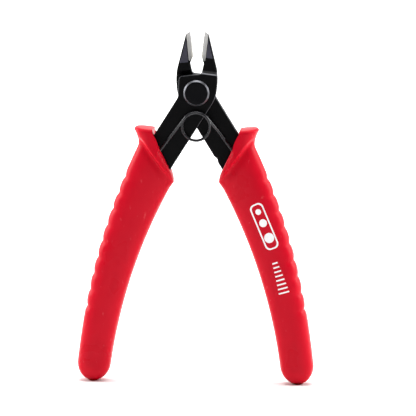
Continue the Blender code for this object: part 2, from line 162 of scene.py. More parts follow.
class Finish:
    """A material with one Principled shader, and helpers that add the nodes which vary it."""

    def __init__(self, name, colour, metallic, roughness, **sockets):
        self.material = bpy.data.materials.new(name)
        self.material.use_nodes = True
        self.nodes = self.material.node_tree.nodes
        self.links = self.material.node_tree.links
        self.shader = self.nodes["Principled BSDF"]
        self.set(self.shader, Base_Color=(*colour, 1), Metallic=metallic, Roughness=roughness, **sockets)
        self.place = self.add("ShaderNodeTexCoord").outputs["Object"]

    def set(self, node, **sockets):
        for name, value in sockets.items():
            plug(self.links, node.inputs[name.replace("_", " ")], value)

    def add(self, kind, **sockets):
        node = self.nodes.new(kind)
        self.set(node, **sockets)
        return node

    def noise(self, size, detail=3.0, stretch=(1, 1, 1)):
        """Noise with features of this size in metres, longer along an axis with a larger stretch."""
        mapping = self.add("ShaderNodeMapping", Vector=self.place)
        mapping.inputs["Scale"].default_value = [1 / (size * part) for part in stretch]
        return self.add("ShaderNodeTexNoise", Vector=mapping.outputs[0], Scale=1.0, Detail=detail).outputs[0]

    def spread(self, value, low, high, from_low=0.3, from_high=0.7):
        """Turns a noise value into one between low and high."""
        node = self.add("ShaderNodeMapRange", Value=value)
        self.set(node, From_Min=from_low, From_Max=from_high, To_Min=low, To_Max=high)
        return node.outputs[0]

    def blend_colour(self, share, first, second):
        """Mixes two colours. A share of 0 gives the first, and 1 the second."""
        node = self.add("ShaderNodeMix")
        node.data_type = "RGBA"
        plug(self.links, node.inputs[0], share)
        for socket, colour in ((node.inputs[6], first), (node.inputs[7], second)):
            plug(self.links, socket, colour if isinstance(colour, bpy.types.NodeSocket) else (*colour, 1))
        return node.outputs[2]

    def bump(self, height, depth):
        """Adds a bump of this depth in metres, on top of any bump that is already there."""
        node = self.add("ShaderNodeBump", Height=height, Distance=depth)
        if self.shader.inputs["Normal"].is_linked:
            self.links.new(self.shader.inputs["Normal"].links[0].from_socket, node.inputs["Normal"])
        self.set(self.shader, Normal=node.outputs[0])


# %% [markdown]
# The halves are blackened all over, and then that black changes in a few places. The stamped edges
# rub a little brighter, and that lighter colour is also a painted highlight. A painted highlight lies
# on the front of the front plate's bend. Each jaw is thinned by grinding and keeps a satin blue-grey
# face, whose lighter colour is partly a painted highlight from the light above. The two bevels of the
# cutting edge are ground last and stay bare, and painted shade darkens them towards the tips. Each
# of these places has a material of its own, and the list at the end numbers them.

# %% Black oxide, and the same oxide rubbed or stretched
BLOTCH_SIZE, GRAIN_SIZE, GRAIN_DEPTH = 4 * MM, 0.25 * MM, 0.006 * MM
BLOTCH_SHADE = 0.55  # the darkest blotch, as a share of the colour
OXIDE_DRIFT, GROUND_DRIFT = (-0.06, 0.08), (-0.05, 0.07)  # how far the roughness drifts down and up


def oxide(name, colour, metallic, roughness, specular):
    finish = Finish(name, colour, metallic, roughness, Specular_IOR_Level=specular)
    blotch = finish.noise(BLOTCH_SIZE, detail=4)
    grain = finish.noise(GRAIN_SIZE, detail=2)
    darker = [BLOTCH_SHADE * part for part in colour]
    finish.set(finish.shader, Base_Color=finish.blend_colour(blotch, darker, colour))
    finish.set(finish.shader, Roughness=finish.spread(blotch, *(roughness + drift for drift in OXIDE_DRIFT)))
    finish.bump(grain, GRAIN_DEPTH)
    return finish


black_oxide = oxide("black_oxide", (0.0014, 0.0014, 0.0020), 0.0, 0.40, 0.07)
# the rounded edges: lighter for real wear, and lighter still as a painted highlight along them
rubbed_oxide_and_highlight = oxide("rubbed_edge_and_highlight", (0.075, 0.075, 0.082), 0.75, 0.36, 0.3)
# painted highlight: a lighter oxide for the lit strip at the foot of the front plate's bend
bend_highlight = oxide("painted_bend_highlight", (0.10, 0.10, 0.11), 0.7, 0.40, 0.3)


# %% Ground steel: scratches that run one way
SCRATCH_WIDTH, PATCH_SIZE = 0.12 * MM, 3 * MM
SCRATCH_SHADE = 0.7  # the darkest scratch, as a share of the colour
TIP_SHADE_FROM, TIP_SHADE_TO, TIP_SHADE_SHARE = 14 * MM, 21 * MM, 0.42  # painted shade towards the jaw tips: heights above the rivet's axis, and the share of colour it leaves


def ground(name, colour, metallic, roughness, scratch, depth, tip_shade=False):
    """Ground steel. scratch is how long the marks are along X, Y and Z, against their width."""
    finish = Finish(name, colour, metallic, roughness)
    lines = finish.noise(SCRATCH_WIDTH, detail=2, stretch=scratch)
    patch = finish.noise(PATCH_SIZE)
    darker = [SCRATCH_SHADE * part for part in colour]
    shade = finish.blend_colour(finish.spread(lines, 0, 1), darker, colour)
    if tip_shade:  # painted shade, darkening the bevels towards the tips of the jaws
        height = finish.add("ShaderNodeSeparateXYZ", Vector=finish.place).outputs["Z"]
        near_tip = finish.spread(height, 0, 1, PIVOT.z + TIP_SHADE_FROM, PIVOT.z + TIP_SHADE_TO)
        shade = finish.blend_colour(near_tip, shade, [TIP_SHADE_SHARE * part for part in colour])
    finish.set(finish.shader, Base_Color=shade)
    finish.set(finish.shader, Roughness=finish.spread(patch, *(roughness + drift for drift in GROUND_DRIFT)))
    finish.bump(lines, depth)
    return finish


# the ground face's blue-grey is partly a painted highlight of the light from above
taper_finish = ground("taper_face", (0.072, 0.070, 0.096), 0.55, 0.45, (14, 1, 1), 0.008 * MM)
edge_finish = ground("cutting_bevel", (0.34, 0.335, 0.33), 0.85, 0.45, (1, 12, 1), 0.006 * MM, True)
inner_edge_finish = ground("cutting_edge", (0.27, 0.265, 0.24), 0.9, 0.42, (1, 12, 1), 0.006 * MM, True)
HALF_FINISHES = [black_oxide, rubbed_oxide_and_highlight, bend_highlight, taper_finish, edge_finish, inner_edge_finish]
OXIDE, RUBBED_AND_HIGHLIGHT, BEND_HIGHLIGHT, TAPER, BEVEL, EDGE = range(len(HALF_FINISHES))
print("steel finishes:", [finish.material.name for finish in HALF_FINISHES])

# %% [markdown]
# ## The steel halves
#
# Each half is punched from 2.5 mm plate as one outline: jaw, head, leg, and a tang that runs down
# inside the grip. A punched and tumbled edge is slightly round, and that thin rounding, with its
# rubbed finish that is lighter for wear and for a painted highlight, is what draws the bright line
# round each plate. It could be a Bevel modifier, but the outline has very short sides in its corners,
# where that modifier clamps. Here the rounding is built with the plate: rings of points, each a
# little further in and a little further out of the plane.

# %% Sizes of a half, drawn closed
PLATE = 2.5 * MM
LAP_GAP = 0.2 * MM
LAYER = (PLATE + LAP_GAP) / 2  # from the middle plane to the middle of either plate
EDGE_ROUND = 0.22 * MM
JAW_LENGTH, EDGE_LENGTH, EDGE_GAP = 21.4 * MM, 8.9 * MM, 0.05 * MM
# The leg runs down and out at an angle. Its two sides are measured from the line through the axis.
LEG_ANGLE, LEG_INNER, LEG_OUTER, LEG_LENGTH = math.radians(25.5), 6.67 * MM, 4.68 * MM, 27.5 * MM
TANG_ANGLE, TANG_LENGTH, TANG_END_WIDTH = math.radians(23.7), 50.0 * MM, 6.0 * MM
TANG_ROUND = 2 * MM
GRIP_RADIUS, INNER_WALL = 187.75 * MM, 2.4 * MM  # the grip's inner arc, and from it to the tang
CORNER_X, CORNER_HEIGHT, BEND_CLEAR = 6.75 * MM, 5.06 * MM, 0.32 * MM
# The other half's corner rises as the tool opens, and the bend of the jaw starts just above it.
BEND_START = CORNER_X * math.sin(OPEN_ANGLE) + CORNER_HEIGHT * math.cos(OPEN_ANGLE) + BEND_CLEAR
BEND_LENGTH = 1.45 * MM
NICK_AT, NICK_LENGTH, NICK_DEPTH = 23.6 * MM, 2.6 * MM, 0.45 * MM
NICK_CORNER, NICK_FLOOR = 0.3 * MM, 0.8 * MM  # radii


# %% An outline with rounded corners
def round_corners(corners, arc_step=math.radians(5)):
    """Points of a closed outline from its corners (x, z, radius)."""
    points = []
    for index, (x, z, radius) in enumerate(corners):
        corner = Vector((x, z))
        before = Vector(corners[index - 1][:2]) - corner
        after = Vector(corners[(index + 1) % len(corners)][:2]) - corner
        half_side = min(before.length, after.length) / 2
        before.normalize()
        after.normalize()
        turn = math.pi - before.angle(after)
        if not radius or turn < arc_step / 2:
            points.append(corner)
            continue
        run = min(half_side, radius * math.tan(turn / 2))
        radius = run / math.tan(turn / 2)
        centre = corner + (before + after).normalized() * radius / math.cos(turn / 2)
        start = corner + before * run - centre
        bend = 1 if before.x * after.y - before.y * after.x < 0 else -1
        steps = max(2, math.ceil(turn / arc_step))
        for step in range(steps + 1):
            points.append(centre + Matrix.Rotation(bend * turn * step / steps, 2) @ start)
    return points


# %% Points of the leg and of the grip's long arc
def leg_point(along, outward):
    sine, cosine = math.sin(LEG_ANGLE), math.cos(LEG_ANGLE)
    return (-along * sine - outward * cosine, -along * cosine + outward * sine)


def leg_at(x, outward):
    along = (-x - outward * math.cos(LEG_ANGLE)) / math.sin(LEG_ANGLE)
    return leg_point(along, outward)


def arc_centre():
    x, z = leg_point(LEG_LENGTH, -LEG_INNER)
    reach = GRIP_RADIUS + INNER_WALL
    return x + reach * math.cos(TANG_ANGLE), z - reach * math.sin(TANG_ANGLE)


ARC_X, ARC_Z = arc_centre()


def grip_point(along, across):
    """A point by its distance along the grip's inner arc and across from it."""
    angle = TANG_ANGLE - along / GRIP_RADIUS
    radius = GRIP_RADIUS + across
    return ARC_X - radius * math.cos(angle), ARC_Z + radius * math.sin(angle)


def tang_corners(grow, steps=16):
    """Corners of the tang, down one side and up the other, made larger all round by grow."""
    inner, outer = [], []
    for step in range(steps + 1):
        share = step / steps
        width = (LEG_INNER + LEG_OUTER) * (1 - share) + TANG_END_WIDTH * share
        along = share * (TANG_LENGTH + grow)
        radius = TANG_ROUND + grow if step == steps else 0
        inner.append((*grip_point(along, INNER_WALL - grow), radius))
        outer.append((*grip_point(along, INNER_WALL + width + grow), radius))
    return inner + outer[::-1]


# %% The outline of a half
TIP_WIDTH, TIP_DROP, HEAD_HALF_WIDTH, SHOULDER_HEIGHT = 1.7 * MM, 0.95 * MM, 6.87 * MM, 6.4 * MM
THROAT_FOOT, THROAT_FOOT_HEIGHT, THROAT_HALF_WIDTH = 0.85 * MM, 6.8 * MM, 1.25 * MM
THROAT_NECK = 2 * MM  # how far below the cutting edge the throat has its full width
LEG_ROOT_X = 6.2 * MM  # where the leg's outer side leaves the head
TIP_ROUND, SHOULDER_ROUND, HEAD_ROUND = 0.4 * MM, 18 * MM, 12 * MM
ROOT_ROUND, CORNER_ROUND, THROAT_ROUND = 4 * MM, 1.4 * MM, 0.8 * MM


def half_outline(nicked):
    nick = [
        (NICK_AT - NICK_LENGTH / 2, 0, NICK_CORNER),
        (NICK_AT, NICK_DEPTH, NICK_FLOOR),
        (NICK_AT + NICK_LENGTH / 2, 0, NICK_CORNER),
    ]
    edge_foot = JAW_LENGTH - EDGE_LENGTH
    corners = [
        (EDGE_GAP, JAW_LENGTH, 0),
        (TIP_WIDTH, JAW_LENGTH - TIP_DROP, TIP_ROUND),
        (HEAD_HALF_WIDTH, SHOULDER_HEIGHT, SHOULDER_ROUND),
        (*leg_at(HEAD_HALF_WIDTH, -LEG_INNER), HEAD_ROUND),
        *[(*leg_point(at, deep - LEG_INNER), radius) for at, deep, radius in nick if nicked],
        *tang_corners(0),
        (*leg_at(-LEG_ROOT_X, LEG_OUTER), ROOT_ROUND),
        (-CORNER_X, CORNER_HEIGHT, CORNER_ROUND),
        (THROAT_FOOT, THROAT_FOOT_HEIGHT, THROAT_ROUND),
        (THROAT_HALF_WIDTH, edge_foot - THROAT_NECK, THROAT_ROUND),
        (EDGE_GAP, edge_foot, 0),
    ]
    return round_corners(corners)


outlines = {layer: half_outline(layer == REAR) for layer in (FRONT, REAR)}
print("outline points, front and rear:", [len(outline) for outline in outlines.values()])


# %% A plate with rounded edges
MITRE_LIMIT = 0.6  # keeps the inset of a sharp corner from growing too long


def rounded_plate(outline, radius, steps=4):
    """A bmesh of the plate about the plane Y = 0. Its rounded edges have the rubbed finish, lighter for wear
    and for a painted highlight.
    """
    count = len(outline)
    area = sum(outline[i - 1].cross(outline[i]) for i in range(count))
    inward = []
    for index, point in enumerate(outline):
        before = (point - outline[index - 1]).normalized()
        after = (outline[(index + 1) % count] - point).normalized()
        sides = [Vector((-way.y, way.x)) * math.copysign(1, area) for way in (before, after)]
        middle = (sides[0] + sides[1]).normalized()
        inward.append(middle / max(MITRE_LIMIT, middle.dot(sides[0])))
        if abs(point.x - EDGE_GAP) < TINY:
            inward[-1] = Vector((0, 0))  # the cutting edge stays sharp
    turns = [math.pi / 2 * step / steps for step in range(steps + 1)]
    rings = [
        (radius * (1 - math.sin(turn)), -PLATE / 2 + radius * (1 - math.cos(turn))) for turn in turns
    ]
    rings += [(inset, -depth) for inset, depth in reversed(rings)]
    work = bmesh.new()
    loops = []
    for inset, depth in rings:
        places = [point + side * inset for point, side in zip(outline, inward)]
        loops.append([work.verts.new((place.x, depth, place.y)) for place in places])
    for index, (loop, following) in enumerate(zip(loops, loops[1:])):
        for near in range(count):
            far = (near + 1) % count
            side = work.faces.new((loop[near], loop[far], following[far], following[near]))
            # the rounding strips take the rubbed finish, lighter for wear and for a painted highlight
            side.material_index = OXIDE if index == steps else RUBBED_AND_HIGHLIGHT
    work.faces.new(loops[0])
    work.faces.new(loops[-1][::-1])
    bmesh.ops.recalc_face_normals(work, faces=work.faces)
    return work


# %% [markdown]
# The jaws lie in the middle plane and the plates beside it, so each half has a bend, or joggle, just
# above the rivet. The plate is first sliced at a row of heights, so that it has points to bend with,
# and then its points are pushed sideways by a smooth step. The face that thins the jaw is made the
# same way: above its foot the front of the jaw is pushed back in proportion to the height. Its ground
# face keeps a border of oxide along the outer side and along the bevel.

# %% Bend the plate and thin the jaw
TAPER_FOOT = {FRONT: 12.5 * MM, REAR: 10.9 * MM}  # the heights where the ground faces start
TAPER_SLOPE = 0.9 / 9.6  # the depth that is ground away, for each unit of height above the foot
TAPER_INNER = 1.8 * MM  # from the middle to the ground face
TAPER_BORDER = 0.4 * MM  # from the ground face to the jaw's outer side
BEND_SLICES = 12
BRIGHT_LENGTH = 0.5 * MM  # the foot of the front half's bend, where a highlight is painted
FACING, LEANING = -0.9, -0.2  # a face looks to the front, or partly so, when its normal's Y is less


def bend_and_thin(work, layer):
    foot = TAPER_FOOT[layer]
    slices = [BEND_START + BEND_LENGTH * step / BEND_SLICES for step in range(BEND_SLICES + 1)]
    for height in (*slices, foot):
        everything = work.verts[:] + work.edges[:] + work.faces[:]
        bmesh.ops.bisect_plane(work, geom=everything, plane_co=(0, 0, height), plane_no=(0, 0, 1))
    tip = Vector((TIP_WIDTH, 0, JAW_LENGTH - TIP_DROP))
    side = tip - Vector((HEAD_HALF_WIDTH, 0, SHOULDER_HEIGHT))
    outward = Vector((side.z, 0, -side.x)).normalized()
    border = tip - outward * TAPER_BORDER
    for place, way in ((border, outward), (Vector((TAPER_INNER, 0, 0)), Vector((1, 0, 0)))):
        faces = [face for face in work.faces if face.normal.y < FACING and face.calc_center_median().z > foot]
        around = {part for face in faces for part in (*face.verts, *face.edges)}
        bmesh.ops.bisect_plane(work, geom=[*faces, *around], plane_co=place, plane_no=way)
    for face in work.faces:
        middle = face.calc_center_median()
        inside_border = middle.x > TAPER_INNER and outward.dot(middle - border) < 0
        on_bend = BEND_START < middle.z < BEND_START + BRIGHT_LENGTH
        # a painted highlight on the front-facing faces at the foot of the bend
        if layer == FRONT and on_bend and face.normal.y < LEANING:
            face.material_index = BEND_HIGHLIGHT
        elif middle.z > foot and face.normal.y < FACING and inside_border:
            face.material_index = TAPER
        elif middle.z > BEND_START + BEND_LENGTH and face.material_index == RUBBED_AND_HIGHLIGHT:
            face.material_index = OXIDE
    for vert in work.verts:
        rise = min(1, max(0, (vert.co.z - BEND_START) / BEND_LENGTH))
        eased = 0.5 * rise + 0.5 * rise * rise * (3 - 2 * rise)  # half a ramp, half a smooth step
        share = (PLATE / 2 - vert.co.y) / PLATE
        vert.co.y += share * TAPER_SLOPE * max(0, vert.co.z - foot)
        vert.co.y += layer * LAYER * (1 - eased)
    bmesh.ops.triangulate(work, faces=[face for face in work.faces if len(face.verts) > 4])


# %% [markdown]
# A flush cutter's edge is ground on one side only. The back stays flat and the bevel has two steps:
# a broad one that meets the front, and a steeper one along the edge itself. Both are cut with prisms,
# whose faces carry the ground finish over to the cut. The bore for the rivet is cut the same way.

# %% Cutters
BEVEL_FOOT = 11.4 * MM
STEP_X, STEP_Y = 0.72 * MM, -0.25 * MM  # where the two bevels meet, at the bevel's foot
FRONT_RUN = 0.85  # how far the broad bevel runs across the jaw for each unit of its depth
BORE_RADIUS, BORE_REACH = 3.06 * MM, 9 * MM


def prism(name, polygon, low, high, finish, lean=0.0):
    """A prism between two heights on a polygon in X and Y, leaning back as it rises."""
    points = [(x, y + lean * (z - low), z) for z in (low, high) for x, y in polygon]
    count = len(polygon)
    sides = [(i, (i + 1) % count, (i + 1) % count + count, i + count) for i in range(count)]
    mesh = mesh_of(name, points, [tuple(range(count))[::-1], tuple(range(count, 2 * count)), *sides])
    for face in mesh.polygons:
        face.material_index = finish
    return mesh


def circle(radius, sides):
    turn = [math.tau * step / sides for step in range(sides)]
    return [(radius * math.cos(a), radius * math.sin(a)) for a in turn]


def edge_cutters(name):
    top, away, far = JAW_LENGTH + MM, -4 * MM, 3 * MM  # well past the plate on every side
    steep = (STEP_X - EDGE_GAP) / (STEP_Y - PLATE / 2)
    steep_polygon = [(EDGE_GAP + steep * far, PLATE / 2 + far), (STEP_X - steep * far, STEP_Y - far)]
    broad_polygon = [(STEP_X - FRONT_RUN * far, STEP_Y + far), (STEP_X + FRONT_RUN * far, STEP_Y - far)]
    edges = []
    for label, (back, front), finish, lean in (
        ("edge", steep_polygon, EDGE, 0.0),
        ("bevel", broad_polygon, BEVEL, TAPER_SLOPE),
    ):
        polygon = [back, front, (away, front[1]), (away, back[1])]
        edges.append(prism(f"{name}_{label}", polygon, BEVEL_FOOT, top, finish, lean))
    return edges


def bore_cutter(name):
    mesh = prism(name, circle(BORE_RADIUS, 64), -BORE_REACH, BORE_REACH, OXIDE)
    mesh.transform(Matrix.Rotation(math.pi / 2, 4, "X"))
    return mesh


def cut_away(piece, cutters):
    """Cuts the meshes away from the piece, and returns the piece's mesh. The piece is removed."""
    helpers = []
    for mesh in cutters:
        for material in piece.data.materials:
            mesh.materials.append(material)
        helper = show(mesh.name, mesh)
        modifier = piece.modifiers.new(mesh.name, "BOOLEAN")
        modifier.operation, modifier.solver, modifier.object = "DIFFERENCE", "EXACT", helper
        helpers.append(helper)
    mesh = evaluated_mesh(piece)
    for helper in helpers:
        bpy.data.objects.remove(helper, do_unlink=True)
    return mesh


# %% Sharp lines and flat faces
def set_shading(mesh, angle, keep_sharp=lambda low, high: False):
    """Smooth shading that breaks at this angle and along any edge that keep_sharp picks."""
    mesh.shade_smooth()
    mesh.set_sharp_from_angle(angle=angle)
    for edge in mesh.edges:
        if keep_sharp(*(mesh.vertices[index].co for index in edge.vertices)):
            edge.use_edge_sharp = True


def weigh_normals(name, mesh):
    """Large flat faces keep their own normals, and the narrow roundings between them take up the turn."""
    piece = show(name, mesh)
    modifier = piece.modifiers.new("weighted", "WEIGHTED_NORMAL")
    modifier.keep_sharp = True
    return evaluated_mesh(piece)


# %% Make the two halves
def make_half(name, layer):
    work = rounded_plate(outlines[layer], EDGE_ROUND)
    bend_and_thin(work, layer)
    mesh = bpy.data.meshes.new(name)
    work.to_mesh(mesh)
    work.free()
    for finish in HALF_FINISHES:
        mesh.materials.append(finish.material)
    mesh = cut_away(show(name + "_plate", mesh), [*edge_cutters(name), bore_cutter(name + "_bore")])
    foot = TAPER_FOOT[layer]
    set_shading(mesh, math.radians(28), lambda a, b: abs(a.z - foot) + abs(b.z - foot) < TINY)
    put_in_place(mesh, layer)
    piece = show(name + "_steel", weigh_normals(name, mesh))
    piece.data.name = piece.name
    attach(piece, BODY[layer])
    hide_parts(name)
    report(piece, name)


make_half("front_half", FRONT)
make_half("rear_half", REAR)

# %% [markdown]
# ## The rivet
#
# The rivet is turned steel. Its head has a black face, dished a little, inside a bare chamfer, and the
# chamfer is what shines as a ring. Behind, its tail is closed over the plate and has the small pit of
# the tool that closed it. A turned piece is a profile swept about its axis, which is all that the
# cell does. Each stretch of the profile says which finish it has.

# %% Finishes of the rivet
face_finish = oxide("rivet_face", (0.0020, 0.0020, 0.0032), 0.0, 0.38, 0.07)
chamfer_finish = ground("rivet_chamfer", (0.13, 0.132, 0.145), 0.9, 0.34, (1, 1, 1), 0.004 * MM)
FACE, CHAMFER = 0, 1
HEAD_GAP = 0.1 * MM
SEAT = LAYER + PLATE / 2 + HEAD_GAP  # from the middle plane to the underside of the head and the tail
HEAD_RADIUS, FACE_RADIUS, SHANK_RADIUS, TAIL_RADIUS = 4.55 * MM, 3.96 * MM, 3 * MM, 4.2 * MM
HEAD_HEIGHT, CHAMFER_DROP, TAIL_HEIGHT = 0.75 * MM, 0.56 * MM, 0.5 * MM
HEAD_ARC, TAIL_ARC = 0.08 * MM, 0.2 * MM  # the radii of their small roundings
HEAD_DISH = [(0, 0.04), (1.2, 0.035), (2.6, 0.015)]  # radius and how far it is sunk, in mm
TAIL_PIT = [(2.4, 0.02), (1.1, 0.05), (0.5, 0.16), (0, 0.2)]


# %% Turn the rivet
def corner_arc(radius, height, size, turn_from, turn_to, steps=4):
    """A small rounding of the profile about (radius, height), between two turns in degrees."""
    turns = [math.radians(turn_from + (turn_to - turn_from) * step / steps) for step in range(steps + 1)]
    return [(radius + size * math.cos(turn), height + size * math.sin(turn)) for turn in turns]


def rivet_profile():
    """(radius, height, finish of the stretch that follows), from the head's middle to the tail's."""
    top, foot = SEAT + HEAD_HEIGHT, -SEAT - TAIL_HEIGHT
    shank = [(HEAD_RADIUS, SEAT), (SHANK_RADIUS, SEAT), (SHANK_RADIUS, -SEAT), (TAIL_RADIUS, -SEAT)]
    stretches = [
        ([(radius * MM, top - sunk * MM) for radius, sunk in HEAD_DISH], FACE),
        (corner_arc(FACE_RADIUS, top - HEAD_ARC, HEAD_ARC, 90, 45), CHAMFER),
        (corner_arc(HEAD_RADIUS - HEAD_ARC, top - CHAMFER_DROP, HEAD_ARC, 45, 0), FACE),
        (shank, FACE),
        (corner_arc(TAIL_RADIUS - TAIL_ARC, foot + TAIL_ARC, TAIL_ARC, 0, -90), FACE),
        ([(radius * MM, foot + sunk * MM) for radius, sunk in TAIL_PIT], FACE),
    ]
    return [(radius, height, finish) for points, finish in stretches for radius, height in points]


def turned(name, profile, sides=128):
    """The profile swept about the Y axis. A radius of 0 gives one point instead of a ring."""
    points, rings, faces, finishes = [], [], [], []
    for radius, height, _ in profile:
        count = sides if radius else 1
        rings.append(range(len(points), len(points) + count))
        turn = [math.tau * step / sides for step in range(count)]
        points += [(radius * math.cos(a), -height, radius * math.sin(a)) for a in turn]
    for (first, second), (_, _, finish) in zip(zip(rings, rings[1:]), profile):
        for near in range(sides):
            far = (near + 1) % sides
            corners = [first[near % len(first)], first[far % len(first)]]
            corners += [second[far % len(second)], second[near % len(second)]]
            faces.append(tuple(dict.fromkeys(corners)))
            finishes.append(finish)
    mesh = mesh_of(name, points, faces)
    for face, finish in zip(mesh.polygons, finishes):
        face.material_index = finish
    return mesh


rivet_mesh = turned("pivot_rivet", rivet_profile())
for finish in (face_finish, chamfer_finish):
    rivet_mesh.materials.append(finish.material)
set_shading(rivet_mesh, math.radians(30))
rivet_mesh.transform(Matrix.Translation(PIVOT))
rivet = show("turned_rivet", weigh_normals("pivot_rivet", rivet_mesh))
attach(rivet, "rear_body")
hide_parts("pivot_rivet")
report(rivet, "pivot_rivet")

# %% [markdown]
# ## The return spring
#
# One length of drawn wire: up one leg, round a turn and a third, and down the other leg. Its two
# ends sit in the grips. The wire is a circle carried along a path, which is what Geometry Nodes do
# best: Mesh to Curve, Curve to Mesh, and the wire's radius stays an input that can be changed. The
# path is worked out here from the coil's radius and the angle of the legs. It is taken forwards or
# back at a few marks, so that the coil lies in front of the plates, and the steps are then softened.

# %% The path of the wire
WIRE_RADIUS, COIL_RADIUS, COIL_DROP, COIL_PITCH = 0.5 * MM, 4.87 * MM, 11.55 * MM, 1.1 * MM
WIRE_LEG_ANGLE, WIRE_LEG, WIRE_KNEE = math.radians(36.5), 24 * MM, 6 * MM
COIL_SWEEP = math.tau + math.pi - 2 * WIRE_LEG_ANGLE  # about a turn and a third
WIRE_GAP = 0.15 * MM  # from the wire to the steel behind it
SPACING = 0.2 * MM  # from one point of the path to the next
SOFTENING = 5  # how many points on either side take part in a softened step


def wire_path():
    back = -(LAYER + PLATE / 2) - WIRE_GAP - WIRE_RADIUS
    front = back - COIL_PITCH * COIL_SWEEP / math.tau
    over_rear_leg = LAP_GAP / 2 - WIRE_GAP - WIRE_RADIUS
    coil_length = COIL_RADIUS * COIL_SWEEP
    total = 2 * WIRE_LEG + coil_length
    marks = [0, WIRE_LEG - WIRE_KNEE, WIRE_LEG, WIRE_LEG + coil_length, total - WIRE_LEG + WIRE_KNEE, total]
    depths = [back, back, front, back, over_rear_leg, over_rear_leg]  # Y at each of the marks
    stations = np.linspace(0, total, int(total / SPACING))
    kernel = np.hanning(2 * SOFTENING + 1)
    depth = np.interp(stations, marks, depths)
    depth = np.convolve(np.pad(depth, SOFTENING, mode="edge"), kernel / kernel.sum(), mode="valid")
    points = []
    for station, y in zip(stations, depth):
        on_coil = min(max(station - WIRE_LEG, 0), coil_length)
        angle = math.pi - WIRE_LEG_ANGLE - on_coil / COIL_RADIUS
        tangent = Vector((math.sin(angle), -math.cos(angle)))
        outward = Vector((math.cos(angle), math.sin(angle)))
        place = COIL_RADIUS * outward + tangent * (station - WIRE_LEG - on_coil)
        points.append(PIVOT + Vector((place.x, y, place.y - COIL_DROP)))
    return points


path = wire_path()
print(f"wire: {len(path)} points, {(len(path) - 1) * SPACING / MM:.0f} mm long")

# %% Drawn wire finish
wire_finish = Finish("drawn_wire", (0.012, 0.012, 0.014), 0.3, 0.26)
blotches = wire_finish.noise(2 * MM)
wire_finish.set(
    wire_finish.shader,
    Base_Color=wire_finish.blend_colour(blotches, (0.008, 0.008, 0.010), (0.022, 0.022, 0.025)),
    Roughness=wire_finish.spread(blotches, 0.20, 0.32),
)
wire_finish.bump(wire_finish.noise(0.15 * MM), 0.004 * MM)


# %% A node tree that runs a round wire along a path
class Tree:
    """A Geometry Nodes tree with named inputs. add() links a socket to a socket, and sets a value."""

    def __init__(self, name, **inputs):
        self.group = bpy.data.node_groups.new(name, "GeometryNodeTree")
        interface = self.group.interface
        interface.new_socket(name="Geometry", in_out="OUTPUT", socket_type="NodeSocketGeometry")
        interface.new_socket(name="Geometry", in_out="INPUT", socket_type="NodeSocketGeometry")
        self.ids = {}
        for label, kind in inputs.items():
            socket = interface.new_socket(name=label, in_out="INPUT", socket_type="NodeSocket" + kind)
            self.ids[label] = socket.identifier
        self.source = self.group.nodes.new("NodeGroupInput").outputs

    def add(self, kind, settings=(), **sockets):
        node = self.group.nodes.new(kind)
        for key, value in dict(settings).items():
            setattr(node, key, value)
        for key, value in sockets.items():
            socket = next(s for s in node.inputs if s.name == key.replace("_", " ") and s.enabled)
            plug(self.group.links, socket, value)
        return node.outputs

    def end(self, geometry):
        """Closes the tree: instances are made real and the finish is set."""
        real = self.add("GeometryNodeRealizeInstances", Geometry=geometry)
        done = self.add("GeometryNodeSetMaterial", Geometry=real[0], Material=self.source["Finish"])
        output = self.group.nodes.new("NodeGroupOutput")
        self.group.links.new(done[0], output.inputs[0])

    def run(self, name, points, edges, **values):
        """Runs the tree on a mesh of points and edges, and returns the result as a plain mesh."""
        carrier_mesh = bpy.data.meshes.new(name)
        carrier_mesh.from_pydata(points, edges, [])
        carrier = show(name, carrier_mesh)
        modifier = carrier.modifiers.new(name, "NODES")
        modifier.node_group = self.group
        for label, value in values.items():
            modifier[self.ids[label]] = value
        return evaluated_mesh(carrier)


def wire_tree():
    tree = Tree("wire_along_path", Radius="Float", Sides="Int", Finish="Material")
    curve = tree.add("GeometryNodeMeshToCurve", Mesh=tree.source["Geometry"])
    section = tree.add(
        "GeometryNodeCurvePrimitiveCircle", Radius=tree.source["Radius"], Resolution=tree.source["Sides"]
    )
    tube = tree.add("GeometryNodeCurveToMesh", Curve=curve[0], Profile_Curve=section[0], Fill_Caps=True)
    smooth = tree.add("GeometryNodeSetShadeSmooth", Geometry=tube[0])
    tree.end(smooth[0])
    return tree


# %% Run the wire along its path
links = [(index, index + 1) for index in range(len(path) - 1)]
wire_mesh = wire_tree().run(
    "wire", path, links, Radius=WIRE_RADIUS, Sides=24, Finish=wire_finish.material
)
set_shading(wire_mesh, math.radians(40))
spring = show("wire_spring", wire_mesh)
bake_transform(spring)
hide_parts("return_spring")
report(spring, "return_spring")

# %% [markdown]
# ## The grips
#
# Each grip is one moulding. Its section is a squared oval, and that section travels down a long
# arc, growing narrower. The outer side has eight finger lobes with nine notches between and beside
# them, the end is round, and the mouth flares into a thumb flange with a collar round the steel leg.
# A loft does all of it: one ring of points after another, each given by a formula. It could be a
# sculpted mesh, but a formula can be measured, and its mirror image is exact.

